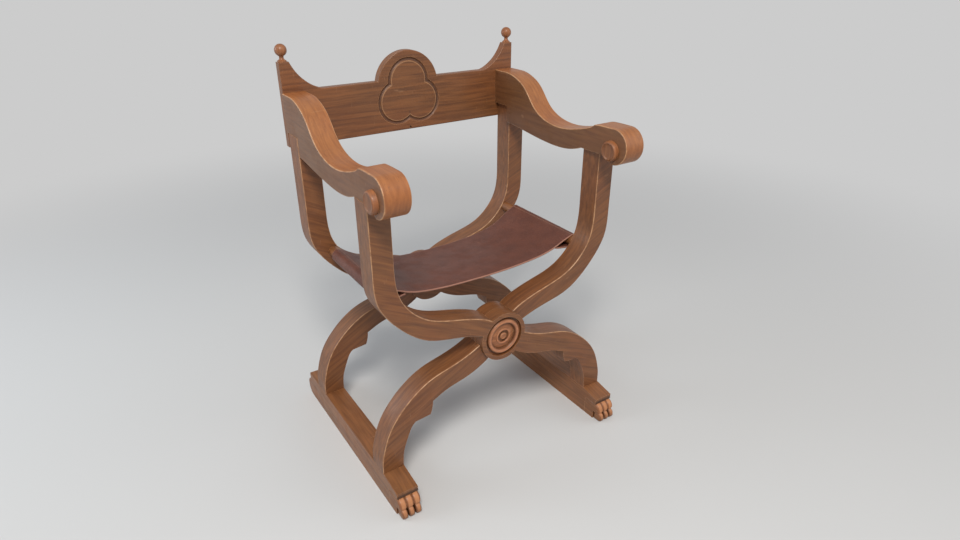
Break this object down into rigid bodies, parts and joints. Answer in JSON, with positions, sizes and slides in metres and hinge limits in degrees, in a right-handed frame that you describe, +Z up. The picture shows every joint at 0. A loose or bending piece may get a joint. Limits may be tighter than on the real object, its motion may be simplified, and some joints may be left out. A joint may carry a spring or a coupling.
{
  "type": "savonarola chair",
  "caption": "Folding X-frame armchair with lapped S members, scrolled arms, paw-footed runners, leather sling and carved back board.",
  "frame": {"origin": "on the floor under the middle of the chair, at the centre of its outline", "axes": "+Z up, the chair faces -Y, +X to its right side as seen from the front"},
  "size_m": [0.68, 0.5871, 0.9775],
  "materials": {
    "wood": "satin varnished walnut, worn lighter on the edges",
    "leather": "matt, fine pebbled grain",
    "iron": "dark forged"
  },
  "bodies": {
    "half_a": {"front_member_a": "wood", "rear_member_a": "wood", "left_arm": "wood", "left_arm_outer_boss": "wood", "left_arm_inner_boss": "wood", "right_runner": "wood", "right_paw": "wood", "left_seat_rail": "wood", "front_rosette": "wood", "front_pivot_bolt": "iron", "front_pivot_washer": "iron", "front_pivot_nut": "iron", "board_rest_peg": "iron", "seat_sling": "leather"},
    "half_b": {"front_member_b": "wood", "rear_member_b": "wood", "right_arm": "wood", "right_arm_outer_boss": "wood", "right_arm_inner_boss": "wood", "left_runner": "wood", "left_paw": "wood", "right_seat_rail": "wood", "rear_rosette": "wood", "rear_pivot_bolt": "iron", "rear_pivot_washer": "iron", "rear_pivot_nut": "iron", "board_pivot_screw": "iron"},
    "back": {"back_board": "wood", "left_finial": "wood", "right_finial": "wood"}
  },
  "joints": [
    {"name": "fold", "type": "hinge", "parent": "half_a", "child": "half_b", "pos_m": [0, 0, 0.341], "axis": [0, -1, 0], "range_deg": [0, 52], "deforming": ["seat_sling"]},
    {"name": "board_swing", "type": "hinge", "parent": "half_b", "child": "back", "pos_m": [0.297, 0.2173, 0.767], "axis": [0, 1, 0], "range_deg": [0, 29]}
  ],
  "couplings": [
    {"joint": "board_swing", "follows": "fold", "ratio": 0.55}
  ]
}
